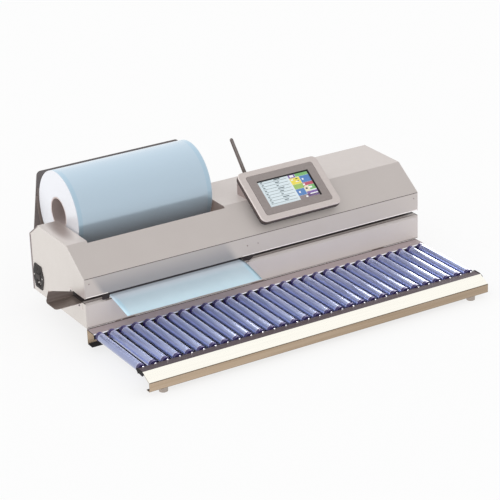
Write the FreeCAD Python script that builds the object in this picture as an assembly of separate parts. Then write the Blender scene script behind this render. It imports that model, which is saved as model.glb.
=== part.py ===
import FreeCAD, Part
import math
import os

# Medical pouch sealer with its reel of pouch film and its roller table.
# Lengths are in millimetres. While it is modelled, X runs along the machine from its
# left end, Y runs from the front of the base to the rear, and Z is up from the floor.

# Housing
body_length = 1000.0
body_depth = 303.0
foot_height = 54.0
base_height = 66.8
slit_height = 13.5
slit_depth = 66.0
fascia_height = 52.4
slope_depth = 88.0
slope_rise = 60.5
top_depth = 162.0
bevel_drop = 38.0
sheet = 2.0
end_sheet = 2.5
lip_bevel = 5.0
seam_gap = 1.0
bend_inside = 1.0
edge_round = 1.5

# Reel well and cradle
well_left = 57.0
well_front = 82.0
well_wall_foot = 110.0
roll_length = 386.0
roll_radius = 112.0
roll_gap = 5.0
core_radius = 44.0
core_wall = 4.0
core_fit = 0.1
roll_axis_depth = 250.0
roll_axis_height = 211.0
cradle_radius = 122.0
rest_gap = 0.3
cradle_sheet = 2.0
cradle_side_gap = 0.5
cradle_rise = 30.0
cradle_shoulder = 5.0
back_plate_height = 285.5
back_plate_top = 418.0
back_plate_foot = 466.0
back_plate_skirt = 120.0
back_plate_shift = 20.0
back_plate_round = 12.0
back_plate_sheet = 2.0

# Film web that comes out of the slit
film_left = 72.0
film_thickness = 1.0
film_inside = 60.0
film_reach = 86.0
film_drop = 20.0
mouth_margin = 15.0

# Power inlet on the left end
inlet_from_rear = 40.0
inlet_above_base = 48.0
inlet_width = 58.0
inlet_end_width = 38.0
inlet_height = 66.0
inlet_ear = 12.0
inlet_corner = 3.5
inlet_flange = 2.5
inlet_body_width = 34.0
inlet_body_height = 62.0
inlet_body_depth = 30.0
inlet_fit = 0.5
socket_width = 26.0
socket_height = 17.0
socket_clip = 5.0
socket_depth = 17.0
socket_drop = 18.0
pin_width = 4.0
pin_height = 2.0
pin_length = 15.0
pin_spacing = 7.0
pin_rise = 3.0
pin_root = 1.0
fuse_width = 24.0
fuse_height = 13.0
fuse_proud = 1.0
switch_width = 28.0
switch_height = 19.0
switch_rise = 20.0
switch_depth = 8.0
switch_rock = 2.0
switch_fit = 0.3

# Infeed chute on the left end
chute_reach = 73.0
chute_sheet = 1.5
chute_front = 15.5
chute_corner = 9.0
chute_bend = 5.0
chute_wall_at_entry = 29.5
chute_wall_at_slit = 11.0
chute_wall_rake = 7.0
chute_tab_width = 32.0
chute_tab_drop = 19.0
chute_ear_width = 17.0
chute_ear_low = 4.0
chute_ear_high = 18.0
chute_tab_round = 4.0

# Touch display
display_left = 513.0
display_width = 242.0
display_length = 160.0
display_thickness = 12.0
display_round = 15.0
display_edge_round = 2.5
display_gap = 13.0
display_back = 5.5
display_step = 1.5
display_start = 12.0
bezel_width = 202.0
bezel_length = 126.0
bezel_thickness = 4.0
bezel_round = 6.0
bezel_groove = 0.8
screen_width = 156.0
screen_length = 85.0
screen_thickness = 1.2
screen_border = 5.0
bracket_width = 222.0
bracket_start = 92.0
bracket_length = 72.0
bracket_depth = 100.0
bracket_rear = 138.0

# Antenna behind the display
antenna_x = 569.5
antenna_y = 150.0
antenna_length = 149.6
antenna_radius = 5.3
antenna_tip_radius = 4.6
antenna_lean = 20.0
antenna_base_radius = 9.0
antenna_base_height = 14.0

# Roller table
roller_margin = 13.875
roller_count = 30
roller_pitch = 33.25
roller_radius = 10.8
cap_radius = 11.5
cap_length = 10.0
tube_length = 200.0
axle_fit = 0.1
axle_flats = 5.0
axle_overhang = 1.5
axis_below_ledge = 7.0
roller_end_gap = 2.0
rear_ledge = 38.0
rail_depth = 41.0
rear_flange = 24.0
front_ledge = 26.0
nose_reach = 33.0
nose_drop = 17.0
nose_flange = 16.0
rail_sheet = 2.0
rail_lip = 14.0
hole_play = 0.15
cross_bar_width = 25.0
cross_bar_sheet = 3.0
cross_bar_inset = 120.0
pan_left = 36.0
pan_right_gap = 12.0
pan_sheet = 1.5
table_foot_radius = 11.0
table_foot_inset = 44.0
table_foot_setback = 4.0
machine_foot_radius = 16.0
machine_foot_taper = 3.0
machine_foot_stem = 7.0
machine_foot_pad = 14.0
machine_foot_inset_x = 110.0
machine_foot_inset_y = 45.0
bracket_leg = 34.0
bracket_sheet = 3.0

# Heights and depths that follow from the sizes above
base_bottom = foot_height
slit_low = base_bottom + base_height
slit_high = slit_low + slit_height
fascia_top = slit_high + fascia_height
top_z = fascia_top + slope_rise
top_rear = slope_depth + top_depth
bevel_bottom = top_z - bevel_drop
slope_angle = math.degrees(math.atan2(slope_rise, slope_depth))
display_lift = display_gap + display_back
inner_left = end_sheet
inner_right = body_length - end_sheet
well_width = roll_length + 2 * roll_gap
well_right = well_left + well_width
roll_left = well_left + roll_gap
roll_right = roll_left + roll_length
roll_y = roll_axis_depth
roll_z = base_bottom + roll_axis_height
cradle_z = roll_z + cradle_radius - roll_radius - rest_gap
back_plate_y = roll_y + cradle_radius + cradle_sheet
ledge_z = base_bottom
axis_z = ledge_z - axis_below_ledge
axle_corner = axle_flats / math.sqrt(3)
hole_corner = axle_corner + hole_play
roller_rear = -rear_ledge - roller_end_gap
roller_length = tube_length + 2 * cap_length
roller_front = roller_rear - roller_length
front_lip_y = roller_front - roller_end_gap
nose_top_y = front_lip_y - front_ledge
nose_y = nose_top_y - nose_reach
rail_low = ledge_z - rail_depth
bar_low = rail_low + rail_sheet
rail_inside = nose_y + rail_sheet + bend_inside
roller_places = [roller_margin + i * roller_pitch for i in range(roller_count)]
table_length = roller_places[-1] + roller_margin
pan_right = table_length - pan_right_gap
slope_sheet = sheet / math.cos(math.radians(slope_angle))
well_front_z = top_z - (slope_depth - well_front) * slope_rise / slope_depth - slope_sheet
rear_inside = body_depth - sheet
rear_lap = sheet + seam_gap
end_rear = body_depth - rear_lap
bevel_turn = math.atan2(body_depth - top_rear, bevel_drop)
bevel_seam_z = top_z - rear_lap / math.sin(bevel_turn)
rear_seam_z = bevel_bottom - rear_lap * math.tan(bevel_turn / 2)
inlet_y = body_depth - inlet_from_rear
inlet_z = base_bottom + inlet_above_base
well_floor = base_bottom + well_wall_foot

# The origin is on the floor, under the middle of the whole outline
origin_x = (body_length - chute_reach) / 2
origin_y = (nose_y + back_plate_y + back_plate_sheet) / 2


def save(name, shape):
    placed = shape.copy()
    placed.translate(FreeCAD.Vector(-origin_x, -origin_y, 0))
    placed.exportStep(os.path.join("parts", name + ".step"))
    volume = round(placed.Volume / 1000.0, 1)
    print(name, "solids", len(placed.Solids), "valid", placed.isValid(), volume, "cm3")


def box(x0, x1, y0, y1, z0, z1):
    return Part.makeBox(x1 - x0, y1 - y0, z1 - z0, FreeCAD.Vector(x0, y0, z0))


def fuse(shapes):
    joined = shapes[0]
    for shape in shapes[1:]:
        joined = joined.fuse(shape)
    return joined.removeSplitter()


def unit(a, b):
    length = math.hypot(a, b)
    return a / length, b / length


def outline_face(corners, place):
    """A face bounded by straight runs through (a, b, radius) corners, each rounded by its radius."""
    stretches = []
    for i, (a, b, radius) in enumerate(corners):
        before = corners[i - 1]
        after = corners[(i + 1) % len(corners)]
        back = unit(before[0] - a, before[1] - b)
        on = unit(after[0] - a, after[1] - b)
        if radius == 0:
            stretches.append([(a, b)])
            continue
        half = math.acos(back[0] * on[0] + back[1] * on[1]) / 2
        cut = radius / math.tan(half)
        inward = unit(back[0] + on[0], back[1] + on[1])
        sag = radius / math.sin(half) - radius
        stretches.append([(a + back[0] * cut, b + back[1] * cut),
                          (a + inward[0] * sag, b + inward[1] * sag),
                          (a + on[0] * cut, b + on[1] * cut)])
    edges = []
    for i, stretch in enumerate(stretches):
        if len(stretch) == 3:
            edges.append(Part.Arc(*[place(a, b) for a, b in stretch]).toShape())
        following = stretches[(i + 1) % len(stretches)][0]
        edges.append(Part.LineSegment(place(*stretch[-1]), place(*following)).toShape())
    return Part.Face(Part.Wire(edges))


def along_x(points, x0, x1):
    """Extrude a closed outline of (y, z) or (y, z, radius) corners from x0 to x1."""
    corners = [point if len(point) == 3 else (point[0], point[1], 0) for point in points]
    face = outline_face(corners, lambda y, z: FreeCAD.Vector(x0, y, z))
    return face.extrude(FreeCAD.Vector(x1 - x0, 0, 0))


def along_y(points, y0, y1):
    """Extrude a closed outline of (x, z) corners from y0 to y1."""
    corners = [FreeCAD.Vector(x, y0, z) for x, z in points]
    return Part.Face(Part.makePolygon(corners + corners[:1])).extrude(FreeCAD.Vector(0, y1 - y0, 0))


def hexagon(x, z, corner_radius):
    """The (x, z) corners of a six-sided outline with two flats upright."""
    turns = [math.radians(30 + 60 * i) for i in range(6)]
    return [(x + corner_radius * math.cos(turn), z + corner_radius * math.sin(turn)) for turn in turns]


def bent_sheet(points, thickness, x0, x1, inside=bend_inside):
    """A folded sheet: the path of (y, z) points is its outer face, the metal lies to its left."""
    near = [(points[0][0], points[0][1], 0)]
    far = [left_of(points[0], points[1], points[0], thickness) + (0,)]
    for before, here, after in zip(points, points[1:], points[2:]):
        d1 = unit(here[0] - before[0], here[1] - before[1])
        d2 = unit(after[0] - here[0], after[1] - here[1])
        turns_left = d1[0] * d2[1] - d1[1] * d2[0] > 0
        tilt = math.acos(d1[0] * d2[0] + d1[1] * d2[1]) / 2
        across = unit(-d1[1] - d2[1], d1[0] + d2[0])
        reach = thickness / math.cos(tilt)
        near.append((here[0], here[1], inside + thickness if turns_left else inside))
        far.append((here[0] + across[0] * reach, here[1] + across[1] * reach,
                    inside if turns_left else inside + thickness))
    near.append((points[-1][0], points[-1][1], 0))
    far.append(left_of(points[-2], points[-1], points[-1], thickness) + (0,))
    return along_x(near + far[::-1], x0, x1)


def left_of(start, end, point, gap):
    """The point moved by gap to the left of the way from start to end."""
    dy, dz = unit(end[0] - start[0], end[1] - start[1])
    return point[0] - dz * gap, point[1] + dy * gap


def rounded_plate(width, length, thickness, radius):
    """A plate in the XY plane with round corners, its near left corner at the origin."""
    plate = Part.makeBox(width, length, thickness)
    upright = [e for e in plate.Edges if abs(e.tangentAt(e.FirstParameter).z) > 0.99]
    return plate.makeFillet(radius, upright)


def on_slope(shape, x, along, lift):
    """Lay a shape drawn flat onto the plane of the slope, lift above it."""
    shape.rotate(FreeCAD.Vector(0, 0, 0), FreeCAD.Vector(1, 0, 0), slope_angle)
    angle = math.radians(slope_angle)
    y = along * math.cos(angle) - lift * math.sin(angle)
    z = fascia_top + along * math.sin(angle) + lift * math.cos(angle)
    shape.translate(FreeCAD.Vector(x, y, z))
    return shape


# Housing

def end_wall(x0, outer_x):
    """An end plate with a rounded outer edge, open at the feed slit."""
    fold = sheet + bend_inside
    outline = [(0, base_bottom), (0, fascia_top, seam_gap), (slope_depth, top_z, fold),
               (top_rear - seam_gap, top_z), (top_rear, bevel_seam_z), (end_rear, rear_seam_z, fold),
               (end_rear, base_bottom)]
    wall = along_x(outline, x0, x0 + end_sheet)
    rim = [e for e in wall.Edges if all(abs(v.X - outer_x) < seam_gap / 2 for v in e.Vertexes)]
    wall = wall.makeFillet(edge_round, rim)
    slit = box(x0 - sheet, x0 + end_sheet + sheet, -sheet, slit_depth, slit_low, slit_high)
    return wall.cut(slit)


def base_pan():
    path = [(slit_depth, slit_low), (lip_bevel, slit_low), (0, slit_low - lip_bevel), (0, base_bottom),
            (rear_inside, base_bottom)]
    pan = bent_sheet(path, sheet, inner_left, inner_right)
    mouth = box(film_left - mouth_margin, film_left + roll_length + mouth_margin,
                -sheet, lip_bevel, slit_low - lip_bevel, slit_low + sheet)
    return pan.cut(mouth)


def front_fascia():
    path = [(0, fascia_top - seam_gap), (0, slit_high), (slit_depth, slit_high)]
    return bent_sheet(path, sheet, inner_left, inner_right)


def slit_back():
    return box(inner_left, inner_right, slit_depth, slit_depth + sheet, slit_low - sheet, slit_high + sheet)


def top_cover():
    """The slope and the flat top, cut out over the reel well."""
    path = [(top_rear, top_z), (slope_depth, top_z), (0, fascia_top)]
    cover = bent_sheet(path, sheet, inner_left, inner_right)
    below = box(inner_left, inner_right, -sheet, slope_depth, base_bottom, fascia_top)
    well = box(well_left, well_right, well_front, top_rear + sheet, base_bottom, top_z + sheet)
    return cover.cut(below).cut(well)


def rear_cover():
    """The rear panel with its bevel, which laps over both end plates."""
    path = [(body_depth, base_bottom), (body_depth, bevel_bottom), (top_rear, top_z)]
    cover = bent_sheet(path, sheet, 0, body_length)
    cover = cover.cut(box(0, body_length, well_front, top_rear, base_bottom, top_z))
    reach = cradle_radius + cradle_sheet + cradle_side_gap
    drop = math.sqrt(reach ** 2 - (rear_inside - roll_y) ** 2)
    well = box(well_left, well_right, top_rear, body_depth + sheet, cradle_z - drop, top_z + sheet)
    return cover.cut(well)


def machine_feet():
    pad = Part.makeCone(machine_foot_radius, machine_foot_radius - machine_foot_taper, machine_foot_pad)
    stem = Part.makeCylinder(machine_foot_stem, foot_height - machine_foot_pad,
                             FreeCAD.Vector(0, 0, machine_foot_pad))
    foot = fuse([pad, stem])
    feet = []
    for x in (machine_foot_inset_x, body_length - machine_foot_inset_x):
        for y in (machine_foot_inset_y, body_depth - machine_foot_inset_y):
            one = foot.copy()
            one.translate(FreeCAD.Vector(x, y, 0))
            feet.append(one)
    return Part.makeCompound(feet)


# Reel well, cradle and reel

def well_walls():
    """The two upright side walls of the well, cut to the housing's outline."""
    outline = [(well_front, well_floor), (well_front, well_front_z),
               (slope_depth + sheet, top_z - sheet), (top_rear - seam_gap, top_z - sheet),
               (top_rear, bevel_seam_z), (end_rear, rear_seam_z), (end_rear, well_floor)]
    left = along_x(outline, well_left - sheet, well_left)
    right = along_x(outline, well_right, well_right + sheet)
    return Part.makeCompound([left, right])


def roll_cradle():
    """A sheet that runs down from the well's front edge, under the reel and up behind it."""
    start = (well_front + sheet, well_front_z)
    away = math.hypot(roll_y - start[0], cradle_z - start[1])
    towards = math.atan2(cradle_z - start[1], roll_y - start[0])
    down = towards - math.asin(cradle_radius / away)
    run = math.sqrt(away ** 2 - cradle_radius ** 2)
    touch = (start[0] + run * math.cos(down), start[1] + run * math.sin(down))
    normal = (math.sin(down), -math.cos(down))
    top = roll_z + cradle_rise

    def point(y, z):
        return FreeCAD.Vector(well_left, y, z)

    def profile(radius, shift):
        first = point(start[0] + shift * normal[0], start[1] + shift * normal[1])
        second = point(touch[0] + shift * normal[0], touch[1] + shift * normal[1])
        low = math.pi * 1.5 + (down / 2)
        middle = point(roll_y + radius * math.cos(low), cradle_z + radius * math.sin(low))
        last = point(roll_y + radius, cradle_z)
        return first, second, middle, last

    a = profile(cradle_radius, 0)
    b = profile(cradle_radius + cradle_sheet, cradle_sheet)
    a_top = point(roll_y + cradle_radius, top)
    b_top = point(roll_y + cradle_radius + cradle_sheet, top)
    edges = [Part.LineSegment(a[0], a[1]).toShape(), Part.Arc(a[1], a[2], a[3]).toShape(),
             Part.LineSegment(a[3], a_top).toShape(), Part.LineSegment(a_top, b_top).toShape(),
             Part.LineSegment(b_top, b[3]).toShape(), Part.Arc(b[3], b[2], b[1]).toShape(),
             Part.LineSegment(b[1], b[0]).toShape(), Part.LineSegment(b[0], a[0]).toShape()]
    cradle = Part.Face(Part.Wire(edges)).extrude(FreeCAD.Vector(well_width, 0, 0))
    for x in (well_left, well_right - cradle_shoulder):
        cradle = cradle.cut(box(x, x + cradle_shoulder, roll_y, back_plate_y, cradle_z, top))
    return cradle


def roll_back_plate():
    """A plate that narrows upwards, on the back of the cradle."""
    middle = (roll_left + roll_right) / 2 + back_plate_shift
    low = cradle_z - back_plate_skirt
    high = base_bottom + back_plate_height
    corners = [(middle - back_plate_foot / 2, low, back_plate_round),
               (middle - back_plate_top / 2, high, back_plate_round),
               (middle + back_plate_top / 2, high, back_plate_round),
               (middle + back_plate_foot / 2, low, back_plate_round)]
    face = outline_face(corners, lambda x, z: FreeCAD.Vector(x, back_plate_y, z))
    return face.extrude(FreeCAD.Vector(0, back_plate_sheet, 0))


def on_roll_axis(outer, inner):
    """A tube on the reel's axis, as long as the reel."""
    place = FreeCAD.Vector(roll_left, roll_y, roll_z)
    axis = FreeCAD.Vector(1, 0, 0)
    outside = Part.makeCylinder(outer, roll_length, place, axis)
    return outside.cut(Part.makeCylinder(inner, roll_length, place, axis))


def film_web():
    """The sealed web as it comes out of the slit and droops towards the rollers."""
    lower = slit_low + rest_gap
    path = [(-film_reach, lower - film_drop), (lip_bevel, lower), (film_inside, lower)]
    return bent_sheet(path, film_thickness, film_left, film_left + roll_length, film_reach / 4)


# Power inlet on the left end

def inlet_plate(half_width, half_end, half_height, ear, corner):
    """The flange's outline: straight ends, and an ear with a screw on each side."""
    y, z = inlet_y, inlet_z
    half = [(half_width, ear / 2), (half_end, half_height)]
    right = [(y + a, z + b, corner) for a, b in half]
    left = [(y - a, z + b, corner) for a, b in half[::-1]]
    lower = [(2 * y - a, 2 * z - b, r) for a, b, r in right + left]
    return right + left + lower


def inlet_window(width, height, up, clip=0):
    """A (y, z) outline centred on the inlet and moved up; its two upper corners may be clipped."""
    y0, y1 = inlet_y - width / 2, inlet_y + width / 2
    z0, z1 = inlet_z + up - height / 2, inlet_z + up + height / 2
    if clip == 0:
        return [(y0, z0), (y0, z1), (y1, z1), (y1, z0)]
    return [(y0, z0), (y0, z1 - clip), (y0 + clip, z1), (y1 - clip, z1), (y1, z1 - clip), (y1, z0)]


def power_inlet():
    """Flange, body, socket recess and fuse drawer; the rocker sits in the upper recess."""
    outline = inlet_plate(inlet_width / 2, inlet_end_width / 2, inlet_height / 2, inlet_ear, inlet_corner)
    flange = along_x(outline, -inlet_flange, 0)
    body = along_x(inlet_window(inlet_body_width, inlet_body_height, 0), 0, inlet_body_depth)
    drawer = along_x(inlet_window(fuse_width, fuse_height, 0), -inlet_flange - fuse_proud, -inlet_flange)
    socket = along_x(inlet_window(socket_width, socket_height, -socket_drop, socket_clip),
                     -inlet_flange, socket_depth - inlet_flange)
    rocker = along_x(inlet_window(switch_width, switch_height, switch_rise), -inlet_flange, switch_depth)
    return fuse([flange, body, drawer]).cut(socket).cut(rocker)


def inlet_pins():
    """Three flat blades that stand on the floor of the socket."""
    floor = socket_depth - inlet_flange
    pins = []
    for across, up in ((-pin_spacing, 0), (0, pin_rise), (pin_spacing, 0)):
        y = inlet_y + across
        z = inlet_z - socket_drop - pin_root + up
        pins.append(box(floor - pin_length, floor, y - pin_height / 2, y + pin_height / 2,
                        z - pin_width / 2, z + pin_width / 2))
    return Part.makeCompound(pins)


def power_switch():
    """A rocker that lies pressed on its upper half."""
    width = switch_width - 2 * switch_fit
    high = inlet_z + switch_rise + switch_height / 2 - switch_fit
    low = inlet_z + switch_rise - switch_height / 2 + switch_fit
    middle = inlet_z + switch_rise
    outline = [(switch_depth, low), (-inlet_flange - switch_rock, low), (-inlet_flange, middle),
               (-inlet_flange + switch_rock / 2, high), (switch_depth, high)]
    return along_y(outline, inlet_y - width / 2, inlet_y + width / 2)


def left_end_wall():
    """The left end plate with the inlet's cut-out."""
    body = inlet_window(inlet_body_width + 2 * inlet_fit, inlet_body_height + 2 * inlet_fit, 0)
    return end_wall(0, 0).cut(along_x(body, -sheet, end_sheet + sheet))


# Infeed chute on the left end

def infeed_chute():
    """A folded tray that carries the pouch edge into the slit: floor, guide wall and two screw tabs."""
    floor_low = slit_low - chute_sheet
    wall_top = slit_low + chute_wall_at_entry
    path = [(chute_front, floor_low), (slit_depth + chute_sheet, floor_low),
            (slit_depth + chute_sheet, wall_top)]
    tray = bent_sheet(path, chute_sheet, -chute_reach, 0, chute_bend)
    over = [(-chute_reach, wall_top), (0, wall_top), (0, slit_low + chute_wall_at_slit),
            (chute_wall_rake - chute_reach, wall_top), (-chute_reach, slit_low + chute_bend)]
    tray = tray.cut(along_y(over[1:4], -chute_reach, 2 * chute_reach))
    tray = tray.cut(along_y([over[0], over[3], over[4]], 0, 2 * slit_depth))
    upright = [e for e in tray.Edges if abs(e.tangentAt(e.FirstParameter).z) > 0.99
               and e.Vertexes[0].X < chute_sheet - chute_reach
               and e.Vertexes[0].Y < chute_front + chute_sheet]
    tray = tray.makeFillet(chute_corner, upright)
    tab = [(chute_front, floor_low), (chute_front, floor_low - chute_tab_drop, chute_tab_round),
           (chute_front + chute_tab_width, floor_low - chute_tab_drop, chute_tab_round),
           (chute_front + chute_tab_width, floor_low)]
    ear_y = slit_depth + chute_sheet
    ear = [(ear_y, slit_low + chute_ear_low), (ear_y, slit_low + chute_ear_high),
           (ear_y + chute_ear_width, slit_low + chute_ear_high, chute_tab_round),
           (ear_y + chute_ear_width, slit_low + chute_ear_low, chute_tab_round)]
    return fuse([tray, along_x(tab, -chute_sheet, 0), along_x(ear, -chute_sheet, 0)])


# Touch display

def display_frame():
    """The display's housing: rounded front edges, a pocket for the bezel and a narrower back."""
    frame = rounded_plate(display_width, display_length, display_thickness, display_round)
    front = [e for e in frame.Edges if all(v.Z > display_thickness - seam_gap for v in e.Vertexes)]
    frame = frame.makeFillet(display_edge_round, front)
    pocket = rounded_plate(bezel_width + 2 * bezel_groove, bezel_length + 2 * bezel_groove,
                           bezel_thickness + screen_thickness, bezel_round + bezel_groove)
    pocket.translate(FreeCAD.Vector((display_width - bezel_width) / 2 - bezel_groove,
                                    (display_length - bezel_length) / 2 - bezel_groove,
                                    display_thickness - bezel_thickness - screen_thickness))
    back = rounded_plate(display_width - 2 * display_step, display_length - 2 * display_step, display_back,
                         display_round - display_step)
    back.translate(FreeCAD.Vector(display_step, display_step, -display_back))
    return on_slope(fuse([frame.cut(pocket), back]), display_left, display_start, display_lift)


def display_bezel():
    """The front panel around the screen, level with the frame."""
    bezel = rounded_plate(bezel_width, bezel_length, bezel_thickness, bezel_round)
    corner = FreeCAD.Vector((bezel_width - screen_width) / 2, (bezel_length - screen_length) / 2, 0)
    window = Part.makeBox(screen_width, screen_length, bezel_thickness, corner)
    x = display_left + (display_width - bezel_width) / 2
    along = display_start + (display_length - bezel_length) / 2
    return on_slope(bezel.cut(window), x, along, display_lift + display_thickness - bezel_thickness)


def display_screen():
    """The glass behind the bezel's window."""
    width = screen_width + 2 * screen_border
    length = screen_length + 2 * screen_border
    x = display_left + (display_width - width) / 2
    along = display_start + (display_length - length) / 2
    lift = display_lift + display_thickness - bezel_thickness - screen_thickness
    return on_slope(Part.makeBox(width, length, screen_thickness), x, along, lift)


def display_bracket():
    """The box under the display, cut to the slope and the flat top that it stands on."""
    x = display_left + (display_width - bracket_width) / 2
    block = Part.makeBox(bracket_width, bracket_length, bracket_depth, FreeCAD.Vector(0, 0, -bracket_depth))
    block = on_slope(block, x, bracket_start, display_gap)
    outline = [(-display_length, fascia_top), (-display_length, 0), (body_depth, 0), (body_depth, top_z),
               (slope_depth, top_z, sheet + bend_inside), (0, fascia_top)]
    under = along_x(outline, x - sheet, x + bracket_width + sheet)
    behind = box(x - sheet, x + bracket_width + sheet, bracket_rear, body_depth, 0, 2 * top_z)
    return block.cut(under).cut(behind)


def antenna():
    base = Part.makeCylinder(antenna_base_radius, antenna_base_height)
    root = FreeCAD.Vector(0, 0, antenna_base_height / 2)
    rod = Part.makeCone(antenna_radius, antenna_tip_radius, antenna_length, root)
    tip = Part.makeSphere(antenna_tip_radius, root + FreeCAD.Vector(0, 0, antenna_length))
    rod = fuse([rod, tip])
    rod.rotate(root, FreeCAD.Vector(0, 1, 0), -antenna_lean)
    whole = fuse([base, rod])
    whole.translate(FreeCAD.Vector(antenna_x, antenna_y, top_z))
    return whole


# Roller table

def axle_holes(y0, y1):
    """The six-sided holes that the axles spring into and rest in, on their two lower flats."""
    centre = axis_z + hole_play
    return Part.makeCompound([along_y(hexagon(x, centre, hole_corner), y0, y1) for x in roller_places])


def rear_rail():
    path = [(-rear_flange, rail_low), (0, rail_low), (0, ledge_z), (-rear_ledge, ledge_z),
            (-rear_ledge, ledge_z - rail_lip)]
    rail = bent_sheet(path, rail_sheet, 0, table_length)
    return rail.cut(axle_holes(-rear_ledge - rail_sheet, -rear_ledge + 2 * rail_sheet))


def front_rail():
    path = [(front_lip_y, ledge_z - rail_lip), (front_lip_y, ledge_z), (nose_top_y, ledge_z),
            (nose_y, ledge_z - nose_drop), (nose_y, rail_low), (nose_y + nose_flange, rail_low)]
    rail = bent_sheet(path, rail_sheet, 0, table_length)
    return rail.cut(axle_holes(front_lip_y - 2 * rail_sheet, front_lip_y + rail_sheet))


def axle(x):
    """A six-sided bar that reaches through the holes in both lips."""
    rear = -rear_ledge + rail_sheet + axle_overhang
    front = front_lip_y - rail_sheet - axle_overhang
    return along_y(hexagon(x, axis_z, axle_corner), front, rear)


def roller(x):
    """A tube with a pressed cap at each end, bored for its axle."""
    bore = axle_corner + axle_fit
    outline = [(bore, roller_rear), (cap_radius, roller_rear), (cap_radius, roller_rear - cap_length),
               (roller_radius, roller_rear - cap_length), (roller_radius, roller_front + cap_length),
               (cap_radius, roller_front + cap_length), (cap_radius, roller_front), (bore, roller_front)]
    corners = [FreeCAD.Vector(x + r, y, axis_z) for r, y in outline]
    face = Part.Face(Part.makePolygon(corners + [corners[0]]))
    return face.revolve(FreeCAD.Vector(x, 0, axis_z), FreeCAD.Vector(0, 1, 0), 360)


def cross_bars():
    """Flat bars under the rollers that tie the two rails together."""
    bars = []
    half = cross_bar_width / 2
    for x in (cross_bar_inset, table_length / 2, table_length - cross_bar_inset):
        bars.append(box(x - half, x + half, rail_inside, -rail_sheet - bend_inside,
                        bar_low, bar_low + cross_bar_sheet))
    return Part.makeCompound(bars)


def table_pan():
    """A dark sheet that lies on the cross bars and closes the table below the rollers."""
    low = bar_low + cross_bar_sheet
    return box(pan_left, pan_right, rail_inside, -rail_sheet - bend_inside, low, low + pan_sheet)


def table_feet():
    y = nose_y + table_foot_radius + table_foot_setback
    feet = []
    for x in (table_foot_inset, table_length - table_foot_inset):
        feet.append(Part.makeCylinder(table_foot_radius, rail_low, FreeCAD.Vector(x, y, 0)))
    return Part.makeCompound(feet)


def table_brackets():
    """Angles that hang the rear rail on the underside of the housing."""
    angles = []
    path = [(bracket_leg, base_bottom), (0, base_bottom), (0, base_bottom - bracket_leg)]
    for x in (cross_bar_inset, table_length / 2, table_length - cross_bar_inset):
        angles.append(bent_sheet(path, bracket_sheet, x - bracket_leg / 2, x + bracket_leg / 2))
    return Part.makeCompound(angles)


os.makedirs("parts", exist_ok=True)
save("end_wall_left", left_end_wall())
save("end_wall_right", end_wall(body_length - end_sheet, body_length))
save("base_pan", base_pan())
save("front_fascia", front_fascia())
save("slit_back", slit_back())
save("top_cover", top_cover())
save("rear_cover", rear_cover())
save("machine_feet", machine_feet())
save("well_walls", well_walls())
save("roll_cradle", roll_cradle())
save("roll_back_plate", roll_back_plate())
save("roll_core", on_roll_axis(core_radius - core_fit, core_radius - core_wall))
save("pouch_roll", on_roll_axis(roll_radius, core_radius))
save("film_web", film_web())
save("power_inlet", power_inlet())
save("inlet_pins", inlet_pins())
save("power_switch", power_switch())
save("infeed_chute", infeed_chute())
save("display_bracket", display_bracket())
save("display_frame", display_frame())
save("display_bezel", display_bezel())
save("display_screen", display_screen())
save("antenna", antenna())
save("table_rear_rail", rear_rail())
save("table_front_rail", front_rail())
save("table_cross_bars", cross_bars())
save("table_pan", table_pan())
save("table_brackets", table_brackets())
save("table_feet", table_feet())
save("roller_axles", Part.makeCompound([axle(x) for x in roller_places]))
for i, x in enumerate(roller_places):
    save("roller_%02d" % (i + 1), roller(x))
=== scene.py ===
"""Looks of the medical pouch sealer: painted housing, film reel, touch display, film web and roller table."""
import math

import bmesh
import bpy
from mathutils import Matrix, Vector


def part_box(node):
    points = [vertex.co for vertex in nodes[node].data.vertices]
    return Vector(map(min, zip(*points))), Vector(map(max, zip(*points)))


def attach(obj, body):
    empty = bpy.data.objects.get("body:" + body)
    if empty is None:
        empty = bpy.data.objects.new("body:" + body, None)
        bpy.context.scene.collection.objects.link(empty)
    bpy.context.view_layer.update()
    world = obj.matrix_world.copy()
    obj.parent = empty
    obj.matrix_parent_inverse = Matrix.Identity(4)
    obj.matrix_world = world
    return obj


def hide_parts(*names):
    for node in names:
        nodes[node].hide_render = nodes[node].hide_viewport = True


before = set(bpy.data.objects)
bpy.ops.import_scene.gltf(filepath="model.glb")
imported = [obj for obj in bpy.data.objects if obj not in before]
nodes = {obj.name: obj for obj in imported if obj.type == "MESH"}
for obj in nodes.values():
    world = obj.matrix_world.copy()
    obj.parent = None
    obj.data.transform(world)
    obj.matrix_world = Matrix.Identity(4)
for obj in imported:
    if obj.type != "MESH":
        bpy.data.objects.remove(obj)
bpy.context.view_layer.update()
sc = bpy.context.scene
sc.view_settings.view_transform = "Standard"

MM = 0.001

# Reference corner: left end face, front of the base, underside of the housing
CORNER = Vector(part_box("end_wall_left")[0])


def at(x, y, z):
    """A point given in millimetres from the reference corner, in the row frame."""
    return CORNER + Vector((x, y, z)) * MM


def local(point):
    """The same the other way: millimetres from the reference corner."""
    return (Vector(point) - CORNER) / MM


# Heights and depths of the housing, in millimetres from the reference corner
SLIT_LOW = 66.8
SLIT_HIGH = 80.3
FASCIA_TOP = 132.7
SLOPE_DEPTH = 88.0
SLOPE_RISE = 60.5
SLOPE = math.atan2(SLOPE_RISE, SLOPE_DEPTH)
HOUSING_LENGTH = 1000.0
FILM_LEFT, FILM_RIGHT = (local(corner).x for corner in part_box("film_web"))
HOUSING_DEPTH = 303.0
SEAM = 1.0

# How far a face's middle may lie beyond the plane that it is sorted by
NEAR = 0.1

# Most values of the noise texture lie between these two
NOISE_LOW = 0.3
NOISE_HIGH = 0.7

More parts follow.
